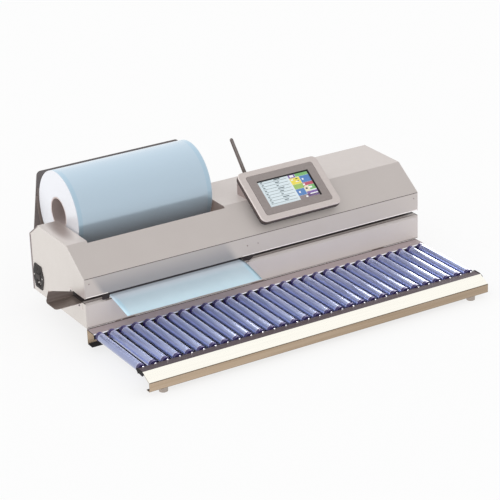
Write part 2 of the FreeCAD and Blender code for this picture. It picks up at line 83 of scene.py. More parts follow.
# Camera that was fitted to the photograph
LENS_PIXELS = 2037.785
FRAME_PIXELS = 500
SENSOR = 36.0
CAMERA_AZIMUTH = math.radians(-30.361)
CAMERA_ELEVATION = math.radians(23.017)
CAMERA_ROLL = math.radians(-2.034)
CAMERA_OFFSET = Vector((25.097, -81.575, 5262.308))
AIM = Vector((500.0, 0.0, 0.0))


def camera():
    a, e, r = CAMERA_AZIMUTH, CAMERA_ELEVATION, CAMERA_ROLL
    back = Vector((math.sin(a) * math.cos(e), -math.cos(a) * math.cos(e), math.sin(e)))
    right = (-back).cross(Vector((0, 0, 1))).normalized()
    up = right.cross(-back)
    turned_right = math.cos(r) * right + math.sin(r) * up
    turned_up = -math.sin(r) * right + math.cos(r) * up
    place = AIM - turned_right * CAMERA_OFFSET.x - turned_up * CAMERA_OFFSET.y + back * CAMERA_OFFSET.z
    data = bpy.data.cameras.new("camera")
    data.sensor_width = SENSOR
    data.lens = LENS_PIXELS * SENSOR / FRAME_PIXELS
    data.clip_start = 0.1
    data.clip_end = 60
    cam = bpy.data.objects.new("camera", data)
    sc.collection.objects.link(cam)
    turn = Matrix((turned_right, turned_up, back)).transposed()
    cam.matrix_world = Matrix.Translation(at(*place)) @ turn.to_4x4()
    sc.camera = cam


# Materials

def linear(rgb):
    """A colour as it is seen, turned to scene values."""
    out = []
    for c in rgb:
        c = c / 255.0
        out.append(c / 12.92 if c <= 0.04045 else ((c + 0.055) / 1.055) ** 2.4)
    return tuple(out) + (1.0,)


class Look:
    """A node material with short ways to add the usual nodes."""

    def __init__(self, name, colour, roughness, metallic=0.0, specular=0.5, coat=0.0, coat_roughness=0.1):
        self.mat = bpy.data.materials.new(name)
        self.mat.use_nodes = True
        self.tree = self.mat.node_tree
        self.shader = self.tree.nodes["Principled BSDF"]
        self.set("Base Color", linear(colour))
        self.set("Roughness", roughness)
        self.set("Metallic", metallic)
        self.set("Specular IOR Level", specular)
        self.set("Coat Weight", coat)
        self.set("Coat Roughness", coat_roughness)
        self.mat.diffuse_color = linear(colour)
        self.base = linear(colour)
        self.coords = None

    def set(self, socket, value):
        self.shader.inputs[socket].default_value = value

    def link(self, value, socket):
        if hasattr(value, "is_output"):
            self.tree.links.new(value, socket)
        else:
            socket.default_value = value

    def node(self, kind, **inputs):
        made = self.tree.nodes.new(kind)
        for key, value in inputs.items():
            name = key.replace("_", " ")
            self.link(value, made.inputs[name] if name in made.inputs else made.inputs[int(key[1:])])
        return made

    def place(self):
        if self.coords is None:
            self.coords = self.tree.nodes.new("ShaderNodeTexCoord")
        return self.coords.outputs["Object"]

    def millimetres(self):
        """x, y and z of the surface point, in millimetres from the reference corner."""
        moved = self.node("ShaderNodeVectorMath", i0=self.place(), i1=tuple(CORNER))
        moved.operation = "SUBTRACT"
        grown = self.node("ShaderNodeVectorMath", i0=moved.outputs[0], i1=(1 / MM, 1 / MM, 1 / MM))
        grown.operation = "MULTIPLY"
        return self.node("ShaderNodeSeparateXYZ", Vector=grown.outputs[0]).outputs

    def maths(self, operation, a, b=0.0, c=0.0):
        made = self.node("ShaderNodeMath", i0=a, i1=b, i2=c)
        made.operation = operation
        return made.outputs[0]

    def ramp(self, value, low, high, start=0.0, end=1.0):
        """Start below low, end above high, eased between."""
        made = self.node("ShaderNodeMapRange", Value=value,
                         From_Min=low, From_Max=high, To_Min=start, To_Max=end)
        made.interpolation_type = "SMOOTHSTEP"
        return made.outputs[0]

    def band(self, value, low, high, soft):
        """1 between low and high, with soft edges."""
        return self.maths("MULTIPLY", self.ramp(value, low - soft, low + soft),
                          self.ramp(value, high - soft, high + soft, 1.0, 0.0))

    def mix(self, factor, a, b):
        made = self.tree.nodes.new("ShaderNodeMix")
        made.data_type = "RGBA"
        for index, value in ((0, factor), (6, a), (7, b)):
            self.link(value, made.inputs[index])
        return made.outputs[2]

    def colour(self, value):
        self.base = value
        self.tree.links.new(value, self.shader.inputs["Base Color"])
        return self

    def tint(self, factor, rgb, amount=1.0):
        """Turn the base colour towards rgb where factor is 1."""
        return self.colour(self.mix(self.maths("MULTIPLY", factor, amount), self.base, linear(rgb)))

    def stretched(self, x, y, z):
        made = self.node("ShaderNodeMapping", Vector=self.place())
        made.inputs["Scale"].default_value = (x, y, z)
        return made.outputs[0]

    def noise(self, scale, detail=2.0, vector=None):
        made = self.node("ShaderNodeTexNoise", Vector=vector or self.place(), Scale=scale, Detail=detail)
        return made.outputs[0]

    def mottle(self, scale, amount, vector=None, detail=3.0):
        """Lighten and darken the base colour a little, in patches of about 1 / scale metres."""
        spread = self.node("ShaderNodeMapRange", Value=self.noise(scale, detail, vector),
                           From_Min=NOISE_LOW, From_Max=NOISE_HIGH).outputs[0]
        dark = self.mix(amount, self.base, (0.0, 0.0, 0.0, 1.0))
        light = self.mix(amount, self.base, (1.0, 1.0, 1.0, 1.0))
        return self.colour(self.mix(spread, dark, light))

    def bump(self, scale, depth, vector=None, detail=2.0, height=None):
        """Relief of the given depth in metres."""
        raised = self.noise(scale, detail, vector) if height is None else height
        made = self.node("ShaderNodeBump", Height=raised, Strength=1.0, Distance=depth)
        normal = self.shader.inputs["Normal"]
        if normal.is_linked:
            self.tree.links.new(normal.links[0].from_socket, made.inputs["Normal"])
        self.tree.links.new(made.outputs[0], normal)
        return self

    def rough(self, scale, low, high, vector=None):
        made = self.node("ShaderNodeMapRange", Value=self.noise(scale, 3.0, vector),
                         From_Min=NOISE_LOW, From_Max=NOISE_HIGH, To_Min=low, To_Max=high)
        self.tree.links.new(made.outputs[0], self.shader.inputs["Roughness"])
        return self


# One powder coat; the slope, the front cover and the left end get darker copies of it as painted shade for
# how light falls on each face.
PAINT = (192, 184, 180)
SLOPE_SHADED_PAINT = (187, 179, 175)
FASCIA_SHADED_PAINT = (182, 174, 169)
LEFT_SHADED_PAINT = (186, 180, 175)
# Painted shade at the rear edges of the housing's ends.
REAR_SHADE_BROWN = (84, 68, 72)


def painted(name, colour=PAINT):
    look = Look(name, colour, 0.4, coat=0.12, coat_roughness=0.3)
    return look.mottle(14.0, 0.012).bump(900.0, 0.00003).rough(60.0, 0.36, 0.46)


def rolled(name, colour, roughness, metallic=1.0):
    """Sheet metal with its rolling direction along the machine."""
    look = Look(name, colour, roughness, metallic=metallic)
    look.mottle(5.0, 0.04, look.stretched(1.0, 60.0, 60.0))
    look.bump(1.0, 0.00001, look.stretched(4.0, 1500.0, 1500.0))
    return look.rough(1.0, roughness - 0.05, roughness + 0.07, look.stretched(3.0, 300.0, 300.0))


def coated(name, colour, roughness=0.42, specular=0.5, patches=0.03):
    """Dark sheet metal with a plain coat."""
    look = Look(name, colour, roughness, specular=specular)
    return look.mottle(20.0, patches).bump(800.0, 0.00003)


def moulded(name, colour, roughness, coat=0.0):
    look = Look(name, colour, roughness, coat=coat)
    return look.mottle(150.0, 0.025).bump(1000.0, 0.00004)


def matt_plastic(name, colour):
    look = Look(name, colour, 0.5, specular=0.2)
    return look.mottle(150.0, 0.02).bump(1000.0, 0.00004)


def frame_plastic():
    """Light front of the display with painted shade on the lower half all round its side."""
    look = moulded("display_plastic", (197, 187, 183), 0.5)
    x, y, z = look.millimetres()
    up = look.maths("MULTIPLY", look.maths("SUBTRACT", z, FASCIA_TOP), math.cos(SLOPE))
    lift = look.maths("SUBTRACT", up, look.maths("MULTIPLY", y, math.sin(SLOPE)))
    return look.tint(look.ramp(lift, FRAME_SHADE_LIFT - 0.3, FRAME_SHADE_LIFT + 0.3, 1.0, 0.0), (66, 54, 51))


# The film's painted reflection on the front cover: its left edge at height 0, the lean of that edge,
# its width, its soft edge and its colour
MIRROR_START = 92.0
MIRROR_LEAN = -0.55
MIRROR_WIDTH = 385.0
MIRROR_SOFT = 14.0
MIRROR_GREY = (136, 134, 137)


def fascia_paint():
    """Painted reflection of the film as a greyer patch, painted shade under the top seam, and a painted
    highlight on the hem beside the film.
    """
    look = painted("fascia_paint", FASCIA_SHADED_PAINT)
    x, y, z = look.millimetres()
    edge = look.maths("MULTIPLY_ADD", z, MIRROR_LEAN, MIRROR_START)
    left = look.ramp(look.maths("SUBTRACT", x, edge), -6.0, MIRROR_SOFT)
    past = look.maths("SUBTRACT", x, look.maths("ADD", edge, MIRROR_WIDTH))
    right = look.ramp(past, -MIRROR_SOFT, MIRROR_SOFT, 1.0, 0.0)
    fading = look.ramp(z, 84.0, 134.0, 1.0, 0.45)
    look.tint(look.maths("MULTIPLY", look.maths("MULTIPLY", left, right), fading), MIRROR_GREY, 0.95)
    # Painted shade along the top edge, below the seam to the slope.
    look.tint(look.ramp(z, FASCIA_TOP - SEAM - 2.0, FASCIA_TOP - SEAM), (96, 84, 82), 0.8)
    # Painted highlight on the hem, left and right of the film.
    free = look.maths("SUBTRACT", 1.0, look.band(x, FILM_LEFT - 8.0, FILM_RIGHT - 6.0, 2.0))
    hem_highlight = look.ramp(z, SLIT_HIGH + 2.6, SLIT_HIGH + 4.0, 1.0, 0.0)
    return look.tint(look.maths("MULTIPLY", free, hem_highlight), (244, 237, 232))


# Painted shade: a dark band at the left end's rear edge, and shade above the slit's front corner
REAR_SHADE = 9.0
REAR_SHADE_TOP = 156.0
CORNER_LEAN = 0.62
CORNER_LIGHT = 122.0
CORNER_DARK = 96.0
CORNER_REACH = 60.0


def left_end_paint():
    """Painted shade on the left end: darker at its rear edge and above the slit's front corner."""
    look = painted("left_end_paint", LEFT_SHADED_PAINT)
    x, y, z = look.millimetres()
    rear = look.ramp(y, HOUSING_DEPTH - REAR_SHADE - 0.5, HOUSING_DEPTH - REAR_SHADE + 0.5)
    below = look.ramp(z, REAR_SHADE_TOP, REAR_SHADE_TOP - 4.0, 0.0, 1.0)
    look.tint(look.maths("MULTIPLY", rear, below), REAR_SHADE_BROWN, 0.9)
    # Painted shade above the slit's front corner.
    slant = look.maths("MULTIPLY_ADD", y, CORNER_LEAN, z)
    shade = look.ramp(slant, CORNER_LIGHT, CORNER_DARK, 0.0, 1.0)
    corner = look.maths("MULTIPLY", shade, look.ramp(z, SLIT_LOW - 1, SLIT_LOW))
    forward = look.ramp(y, CORNER_REACH, CORNER_REACH + 18.0, 1.0, 0.0)
    return look.tint(look.maths("MULTIPLY", corner, forward), (150, 138, 136), 0.75)


# Painted reflection of the bore on the flat top: middle, half lengths and lean
BORE_REFLECTION_X = 14.0
BORE_REFLECTION_Y = 206.0
BORE_REFLECTION_LENGTH = 96.0
BORE_REFLECTION_WIDTH = 26.0
BORE_REFLECTION_LEAN = 0.12


def top_paint():
    """The flat top has a soft painted reflection of the bore beside the reel."""
    look = painted("top_paint")
    x, y, z = look.millimetres()
    middle = look.maths("MULTIPLY_ADD", y, BORE_REFLECTION_LEAN, BORE_REFLECTION_X)
    along = look.maths("DIVIDE", look.maths("SUBTRACT", y, BORE_REFLECTION_Y), BORE_REFLECTION_LENGTH)
    across = look.maths("DIVIDE", look.maths("SUBTRACT", x, middle), BORE_REFLECTION_WIDTH)
    away = look.maths("ADD", look.maths("MULTIPLY", along, along), look.maths("MULTIPLY", across, across))
    return look.tint(look.ramp(away, 0.0, 1.3, 1.0, 0.0), (116, 101, 96), 0.75)


# Painted shade on the slit's floor from front to rear: where each starts and is full, its colour and amount
SLIT_FLOOR_SHADE = ((5.5, 6.5, (138, 126, 123), 1.0),
              (9.5, 11.5, (184, 174, 170), 1.0),
              (17.0, 19.0, (40, 31, 31), 0.97))


def pan_paint():
    """Painted shade: the base is dark at its lowest edge and in the depth of the slit."""
    look = painted("pan_paint")
    x, y, z = look.millimetres()
    # Painted shade along the lowest edge.
    look.tint(look.ramp(z, 2.0, 4.5, 1.0, 0.0), (112, 98, 94), 0.85)
    up = look.ramp(z, SLIT_LOW - 4.5, SLIT_LOW - 3.0)
    for start, full, rgb, amount in SLIT_FLOOR_SHADE:
        look.tint(look.maths("MULTIPLY", up, look.ramp(y, start, full)), rgb, amount)
    return look


paint = painted("housing_paint")
# The slope's painted shade: a darker copy of the housing paint.
slope_shaded_paint = painted("slope_shaded_paint", SLOPE_SHADED_PAINT)
# The rear cover's end faces get painted shade.
rear_edge_shade_paint = painted("rear_edge_shade_paint", REAR_SHADE_BROWN)
shadow = Look("slit_shadow", (44, 37, 35), 0.7).mottle(30.0, 0.02)
# Painted reflection of the sky, for the front rail's nose.
sky_reflection_steel = rolled("sky_reflection_steel", (255, 252, 242), 0.22)
# Painted shade: a darker tan copy of the rail steel, for its lower faces.
shaded_tan_steel = rolled("shaded_tan_steel", (160, 141, 120), 0.34)
# Painted shade: a darker band between the nose and the lower face.
edge_shade_steel = rolled("edge_shade_steel", (108, 92, 76), 0.38)
# Painted reflection of the base front, on the rear ledge.
rear_ledge_reflection_steel = rolled("rear_ledge_reflection_steel", (160, 146, 148), 0.42, metallic=0.15)
# Painted reflection of the roller caps, on the front ledge.
front_ledge_reflection_steel = rolled("front_ledge_reflection_steel", (84, 70, 76), 0.38, metallic=0.6)
plate_steel = coated("plate_steel", (92, 82, 80), patches=0.008)
dark_steel = coated("dark_steel", (78, 68, 64))
guide_steel = Look("guide_steel", (34, 25, 25), 0.5, specular=0.2).mottle(20.0, 0.03)
well_steel = coated("well_steel", (110, 96, 90), 0.45)
# Near black: the pan's own colour, and painted shade on the rails' inner faces and the end sheets.
black_pan_and_shade_steel = coated("black_pan_and_shade_steel", (16, 13, 16), 0.8, specular=0.15)
# Polished steel for the axles and buttons, and a painted highlight on the rear rail's front bend.
polished_and_highlight_steel = Look("polished_and_highlight_steel", (244, 244, 248), 0.16, metallic=1.0).mottle(300.0, 0.02)
screw_steel = Look("screw_steel", (140, 128, 124), 0.4, metallic=0.3).mottle(300.0, 0.05)
board = moulded("core_board", (178, 165, 162), 0.75)
# Painted shade: the bracket is given a darker tone for the shade under the display.
shaded_bracket_plastic = moulded("shaded_bracket_plastic", (128, 113, 110), 0.5)
# Painted shade on the bezel's side faces, in the groove round it.
bezel_edge_shade = moulded("bezel_edge_shade", (70, 60, 58), 0.5)
bezel_plastic = moulded("display_bezel", (139, 129, 126), 0.34, coat=0.1)
# Near black: the window walls and dark screws, and painted shade on the display's rear shell.
window_black_and_shade = Look("window_black_and_shade", (22, 20, 22), 0.4).mottle(200.0, 0.02)
black_plastic = matt_plastic("black_plastic", (20, 15, 13))
grey_plastic = matt_plastic("grey_plastic", (50, 43, 41))
pin_steel = Look("pin_steel", (176, 172, 168), 0.4, metallic=0.9).mottle(300.0, 0.03)
antenna_plastic = moulded("antenna_plastic", (96, 86, 82), 0.4)
rubber = moulded("rubber", (150, 140, 132), 0.7)
seal_rubber = moulded("seal_rubber", (84, 70, 68), 0.7)
cap_plastic = moulded("roller_cap", (46, 34, 100), 0.35, coat=0.1)
glass = Look("screen_glass", (220, 232, 237), 0.1).mottle(12.0, 0.02)


def tube_metal():
    """Lavender-blue tube, lighter in a band where it meets each cap."""
    look = Look("roller_tube", (150, 160, 202), 0.22, metallic=0.5, coat=1.0, coat_roughness=0.06)
    look.set("Sheen Weight", 1.0)
    look.set("Sheen Roughness", 0.2)
    look.mottle(1.0, 0.05, look.stretched(40.0, 8.0, 40.0))
    look.bump(1.0, 0.00002, look.stretched(900.0, 20.0, 900.0))
    x, y, z = look.millimetres()
    for low in (TUBE_FRONT, TUBE_REAR - CAP_BAND):
        look.tint(look.band(y, low, low + CAP_BAND, 0.7), (226, 222, 246), 0.6)
    return look


def give(name, look):
    mesh = nodes[name].data
    mesh.materials.clear()
    mesh.materials.append(look.mat)


def give_faces(name, look, test):
    """Another material for the faces of a node that pass a test on their middle and normal."""
    mesh = nodes[name].data
    mesh.materials.append(look.mat)
    index = len(mesh.materials) - 1
    for poly in mesh.polygons:
        if test(local(poly.center), poly.normal):
            poly.material_index = index


# Housing

def in_slit(p):
    return SLIT_LOW - NEAR < p.z < SLIT_HIGH + NEAR and p.y > 3.0


def dress_housing():
    for name in ("end_wall_right", "rear_cover"):
        give(name, paint)
    give("front_fascia", fascia_paint())
    give("end_wall_left", left_end_paint())
    give("top_cover", top_paint())
    give_faces("top_cover", slope_shaded_paint, lambda p, n: n.y < -0.4 and n.z > 0.4)
    # Painted shade on the rear cover's end faces.
    give_faces("rear_cover", rear_edge_shade_paint, lambda p, n: abs(n.x) > 0.9)
    give("slit_back", shadow)
    give("base_pan", pan_paint())
    give_faces("front_fascia", shadow, lambda p, n: p.z < SLIT_HIGH + 2.2 and (n.z < -0.9 or p.y > 3.1))
    give_faces("front_fascia", shadow, lambda p, n: p.z > FASCIA_TOP - SEAM - NEAR)
    give_faces("top_cover", shadow, lambda p, n: p.z < FASCIA_TOP + NEAR and n.z < -0.9)
    for name in ("end_wall_left", "end_wall_right"):
        give_faces(name, shadow, lambda p, n: in_slit(p) and abs(n.x) < 0.5)
    give("well_walls", well_steel)
    give("roll_cradle", well_steel)
    give_faces("roll_cradle", dark_steel, lambda p, n: n.x < -0.9)
    give("roll_back_plate", plate_steel)
    give_faces("roll_back_plate", guide_steel, lambda p, n: n.z > 0.5)
    give("machine_feet", rubber)


# Roller table

ROLLERS = sorted(name for name in nodes if name.startswith("roller_") and name[7:].isdigit())
ROLLER_FRONT = local(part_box(ROLLERS[0])[0]).y
ROLLER_REAR = local(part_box(ROLLERS[0])[1]).y
CAP = 10.0
CAP_BAND = 3.0
TUBE_FRONT = ROLLER_FRONT + CAP
TUBE_REAR = ROLLER_REAR - CAP
LEDGE_FRONT = ROLLER_FRONT - 28.0


def dress_table():
    tube = tube_metal()
    for name in ROLLERS:
        give(name, tube)
        give_faces(name, cap_plastic, lambda p, n: p.y < TUBE_FRONT + NEAR or p.y > TUBE_REAR - NEAR)
    give("roller_axles", polished_and_highlight_steel)
    give("table_pan", black_pan_and_shade_steel)
    give("table_cross_bars", dark_steel)
    give("table_brackets", shaded_tan_steel)
    give("table_feet", rubber)
    give("table_rear_rail", shaded_tan_steel)
    # Painted shade on the rear rail's inner faces.
    give_faces("table_rear_rail", black_pan_and_shade_steel, lambda p, n: p.y < -2.1 and p.z < -0.1)
    # The rear ledge's painted reflection.
    give_faces("table_rear_rail", rear_ledge_reflection_steel, lambda p, n: n.z > 0.5 and p.z > -2.0)
    # Painted highlight along the rear ledge's front bend.
    give_faces("table_rear_rail", polished_and_highlight_steel, lambda p, n: n.z > 0.2 and n.y < -0.2 and p.z > -3.1)
    give("table_front_rail", shaded_tan_steel)
    # Painted shade on the front rail's inner faces.
    give_faces("table_front_rail", black_pan_and_shade_steel, lambda p, n: p.y > LEDGE_FRONT and n.z < 0.5)
    # Painted reflection on the front ledge, painted reflection of the sky on the nose and painted shade below
    # it.
    give_faces("table_front_rail", front_ledge_reflection_steel,
               lambda p, n: p.z > -3.1 and p.y > LEDGE_FRONT - 0.5 and n.z > 0.3)
    give_faces("table_front_rail", sky_reflection_steel, lambda p, n: n.y < -0.3 and 0.7 < n.z < 0.96)
    give_faces("table_front_rail", edge_shade_steel, lambda p, n: n.y < -0.3 and 0.1 < n.z <= 0.7)


# Reel

REEL_LOW, REEL_HIGH = (local(corner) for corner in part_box("pouch_roll"))
REEL_AXIS = (REEL_LOW + REEL_HIGH) / 2
SEAL_INSET = 2.0
SEAL_WIDTH = 11.0
LAYER_SPACING = 1.2


def wound_film():
    """Blue outside with a deeper sealed band near each end, and white wound sides."""
    look = Look("wound_film", (186, 206, 221), 0.24, metallic=0.35, coat=0.5, coat_roughness=0.12)
    x, y, z = look.millimetres()
    for low in (REEL_LOW.x + SEAL_INSET, REEL_HIGH.x - SEAL_INSET - SEAL_WIDTH):
        look.tint(look.band(x, low, low + SEAL_WIDTH, 0.8), (166, 198, 218), 0.55)
    facing = look.tree.nodes.new("ShaderNodeSeparateXYZ")
    look.tree.links.new(look.coords.outputs["Normal"], facing.inputs[0])
    side = look.maths("GREATER_THAN", look.maths("ABSOLUTE", facing.outputs[0]), 0.5)
    dy = look.maths("SUBTRACT", y, REEL_AXIS.y)
    dz = look.maths("SUBTRACT", z, REEL_AXIS.z)
    squares = [look.maths("MULTIPLY", d, d) for d in (dy, dz)]
    radius = look.maths("SQRT", look.maths("ADD", *squares))
    rings = look.maths("SINE", look.maths("MULTIPLY", radius, 2 * math.pi / LAYER_SPACING))
    share = look.maths("MULTIPLY_ADD", rings, 0.05, 0.08)
    white = look.mix(share, linear((222, 223, 228)), linear((176, 184, 198)))
    look.colour(look.mix(side, look.base, white))
    look.bump(0, 0.00004, height=look.maths("MULTIPLY", rings, side))
    look.bump(6.0, 0.0004, vector=look.stretched(1.0, 0.3, 0.3))
    return look


def chute_look():
    """Dark sheet as a painted reflection of dark surroundings, with painted light low in the trough and a
    painted highlight along its upper rim.
    """
    look = rolled("chute_steel", (92, 80, 75), 0.34, metallic=0.5)
    x, y, z = look.millimetres()
    rim = local(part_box("infeed_chute")[1]).z
    # Painted light low in the trough.
    look.tint(look.ramp(z, rim - 46.0, rim - 24.0, 1.0, 0.0), (172, 156, 142), 0.75)
    # Painted highlight along the upper rim.
    return look.tint(look.ramp(z, rim - 3.4, rim - 2.6), (176, 160, 154), 0.8)


def dress_chute():
    give("infeed_chute", chute_look())
    give_faces("infeed_chute", paint, lambda p, n: p.x > -2.6)


def dress_reel():
    give("pouch_roll", wound_film())
    give("roll_core", board)


# Pieces made here

def mesh_piece(name, bm, look, body="machine", shade=True):
    mesh = bpy.data.meshes.new(name)
    bmesh.ops.recalc_face_normals(bm, faces=bm.faces)
    bm.to_mesh(mesh)
    bm.free()
    obj = bpy.data.objects.new(name, mesh)
    sc.collection.objects.link(obj)
    mesh.materials.append(look.mat)
    for poly in mesh.polygons:
        poly.use_smooth = shade
    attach(obj, body)
    return obj


def block(bm, low, high):
    """A box between two corners given in millimetres."""
    xs, ys, zs = zip(low, high)
    corners = [bm.verts.new(at(x, y, z)) for x in xs for y in ys for z in zs]
    for a, b, c, d in ((0, 1, 3, 2), (4, 6, 7, 5), (0, 4, 5, 1), (2, 3, 7, 6), (0, 2, 6, 4), (1, 5, 7, 3)):
        bm.faces.new((corners[a], corners[b], corners[c], corners[d]))


def prism(bm, near, far):
    """A closed prism between two outlines of the same length, given as points."""
    ends = [[bm.verts.new(point) for point in outline] for outline in (near, far)]
    for end in ends:
        bm.faces.new(end)
    for k in range(len(near)):
        n = (k + 1) % len(near)
        bm.faces.new((ends[0][k], ends[0][n], ends[1][n], ends[1][k]))


def turned(bm, origin, axis, profile, segments=20):
    """Spin an (along, radius) profile round the axis through origin; lengths in millimetres."""
    axis = Vector(axis).normalized()
    side = axis.orthogonal().normalized()
    other = axis.cross(side)
    rings = []
    for along, radius in profile:
        middle = origin + axis * along * MM
        count = segments if radius > 0 else 1
        turns = [2 * math.pi * k / segments for k in range(count)]
        spokes = [side * math.cos(t) + other * math.sin(t) for t in turns]
        rings.append([bm.verts.new(middle + spoke * radius * MM) for spoke in spokes])
    for a, b in zip(rings, rings[1:]):
        for k in range(segments):
            n = (k + 1) % segments
            corners = [a[k % len(a)], b[k % len(b)], b[n % len(b)], a[n % len(a)]]
            bm.faces.new(list(dict.fromkeys(corners)))


# Film tongue that droops out of the slit

FILM_THICK = 0.35
FILM_INSIDE = 58.0
FILM_LIP = 5.0
FILM_REACH = 84.5
FILM_LIFT = 0.75
FILM_DROP = 19.2


def web_film():
    look = Look("web_film", (180, 199, 210), 0.25, coat=0.3, coat_roughness=0.12)
    x, y, z = look.millimetres()
    seal = SEAL_INSET + SEAL_WIDTH
    for low, high in ((FILM_LEFT - 3, FILM_LEFT + seal), (FILM_RIGHT - seal, FILM_RIGHT + 3)):
        look.tint(look.band(x, low, high, 3.0), (170, 206, 224), 0.7)
    # Painted light, lighter towards the front edge of the tongue.
    look.tint(look.ramp(y, -FILM_REACH, -30.0, 1.0, 0.0), (196, 226, 238), 0.5)
    # Painted light near the slit.
    look.tint(look.ramp(y, -26.0, 2.0), (226, 230, 240), 0.55)
    # Painted shade on the film inside the slit.
    look.tint(look.ramp(y, 15.0, 19.0), (62, 54, 60), 0.95)
    return look.mottle(30.0, 0.02).bump(9.0, 0.0006)


def film_height(y):
    """Height of the film's underside at a depth y: it eases over the lip and then droops."""
    if y >= FILM_LIP:
        return SLIT_LOW + FILM_LIFT
    out = (FILM_LIP - y) / (FILM_LIP + FILM_REACH)
    ease = out - 0.12 * math.sin(math.pi * out) * (1 - out)
    return SLIT_LOW + FILM_LIFT - FILM_DROP * ease


def film_tongue():
    bm = bmesh.new()
    across, along = 48, 60
    sides = []
    for lift in (0.0, FILM_THICK):
        grid = []
        for j in range(along + 1):
            y = FILM_INSIDE - (FILM_INSIDE + FILM_REACH) * j / along
            line = []
            for i in range(across + 1):
                x = FILM_LEFT + (FILM_RIGHT - FILM_LEFT) * i / across
                wave = 0.35 * math.sin(x / 31.0 + y / 60.0) * max(0.0, -y) / FILM_REACH
                line.append(bm.verts.new(at(x, y, film_height(y) + lift + wave)))
            grid.append(line)
        sides.append(grid)
    low, high = sides
    for grid in sides:
        for j in range(along):
            for i in range(across):
                bm.faces.new((grid[j][i], grid[j + 1][i], grid[j + 1][i + 1], grid[j][i + 1]))
    for j in range(along):
        for i in (0, across):
            bm.faces.new((low[j][i], low[j + 1][i], high[j + 1][i], high[j][i]))
    for i in range(across):
        for j in (0, along):
            bm.faces.new((low[j][i], high[j][i], high[j][i + 1], low[j][i + 1]))
    obj = mesh_piece("film_tongue", bm, web_film())
    for poly in obj.data.polygons:
        poly.use_smooth = abs(poly.normal.z) > 0.5
    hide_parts("film_web")


# Small pieces of the housing

SCREW = [(-0.5, 2.4), (0.5, 2.4), (0.9, 2.2), (1.15, 1.8), (1.2, 1.3), (0.5, 1.15), (0.45, 0)]
FASCIA_SCREWS = ((13.9, 117.7), (467.3, 108.5), (498.8, 108.5), (986.0, 117.7))
FASCIA_SCREW_SIZE = 0.7
CHUTE_SCREWS = ((73.6, 78.0), (30.2, 54.4))
CHUTE_OUT = -1.7


def cover_screws():
    bm = bmesh.new()
    for x, z in FASCIA_SCREWS:
        turned(bm, at(x, 0, z), (0, -1, 0), [(a, r * FASCIA_SCREW_SIZE) for a, r in SCREW])
    mesh_piece("cover_screws", bm, screw_steel)
    bm = bmesh.new()
    for y, z in CHUTE_SCREWS:
        turned(bm, at(CHUTE_OUT, y, z), (-1, 0, 0), SCREW)
    mesh_piece("chute_screws", bm, window_black_and_shade)


# Outlines of the two film guides, as x and z, and the depths between which they lie
GUIDE_LOW = SLIT_LOW + 0.2
GUIDE_HIGH = SLIT_HIGH - 0.2
GUIDES = (((48.5, GUIDE_LOW), (66.0, GUIDE_LOW), (69.5, GUIDE_HIGH), (48.5, GUIDE_HIGH)),
          ((457.0, GUIDE_LOW + 2.5), (471.0, GUIDE_LOW), (491.0, GUIDE_HIGH), (446.0, GUIDE_HIGH)))
GUIDE_DEPTHS = (-0.8, 2.6)


def film_guides():
    """Dark guides in the slit at the two edges of the film."""
    bm = bmesh.new()
    for outline in GUIDES:
        prism(bm, *([at(x, y, z) for x, z in outline] for y in GUIDE_DEPTHS))
    mesh_piece("film_guides", bm, guide_steel, shade=False)


def slope_seam_shade():
    """A dark strip in the joint between the front cover and the slope: painted shade in the gap."""
    bm = bmesh.new()
    block(bm, (2.7, 0.3, FASCIA_TOP - SEAM + 0.1), (HOUSING_LENGTH - 2.7, 1.9, FASCIA_TOP - 0.1))
    mesh_piece("slope_seam_shade", bm, shadow, shade=False)


# Power inlet

INLET_Y = 263.0
INLET_Z = 48.0
INLET_FACE = -2.5
INLET_SCREW_REACH = 22.5
INLET_SCREW_SIZE = 0.9
INLET_SCREW_HEIGHT = 0.8
SWITCH_RISE = 20.0
SWITCH_HALF = 9.2
SWITCH_WIDTH = 27.4
SWITCH_EDGE = 2.0
SWITCH_OUT = 2.0
SWITCH_IN = 1.0
SWITCH_RIBS = 6


def dress_inlet():
    for name in ("power_inlet", "power_switch"):
        give(name, black_plastic)
    give_faces("power_inlet", grey_plastic, lambda p, n: n.x < -0.9 and p.x < INLET_FACE - 0.5)
    give_faces("power_inlet", shadow, lambda p, n: p.x > INLET_FACE + 0.1)
    give("inlet_pins", pin_steel)


def inlet_details():
    bm = bmesh.new()
    for side in (-1, 1):
        turned(bm, at(INLET_FACE, INLET_Y + side * INLET_SCREW_REACH, INLET_Z), (-1, 0, 0),
               [(a * INLET_SCREW_HEIGHT, r * INLET_SCREW_SIZE) for a, r in SCREW])
    mesh_piece("inlet_screws", bm, pin_steel)
    bm = bmesh.new()
    half = SWITCH_WIDTH / 2 - SWITCH_EDGE
    for i in range(SWITCH_RIBS):
        share = 2 * (i + 0.5) / SWITCH_RIBS - 1
        face = INLET_FACE + share * (SWITCH_OUT if share < 0 else SWITCH_IN)
        z = INLET_Z + SWITCH_RISE + SWITCH_HALF * share
        block(bm, (face - 0.45, INLET_Y - half, z - 0.5), (face + 0.4, INLET_Y + half, z + 0.5))
    mesh_piece("switch_ribs", bm, grey_plastic, shade=False)


# Display

DISPLAY_LEFT = 513.0
DISPLAY_WIDTH = 242.0
DISPLAY_START = 12.0
DISPLAY_LENGTH = 160.0
DISPLAY_LIFT = 18.5
FRAME_SHADE_LIFT = 27.0
WINDOW_WIDTH = 156.0
WINDOW_LENGTH = 85.0
WINDOW_X = DISPLAY_LEFT + (DISPLAY_WIDTH - WINDOW_WIDTH) / 2
WINDOW_START = DISPLAY_START + (DISPLAY_LENGTH - WINDOW_LENGTH) / 2
FRAME_THICK = 12.0
GLASS_DEPTH = 4.0
GLASS_LIFT = DISPLAY_LIFT + FRAME_THICK - GLASS_DEPTH


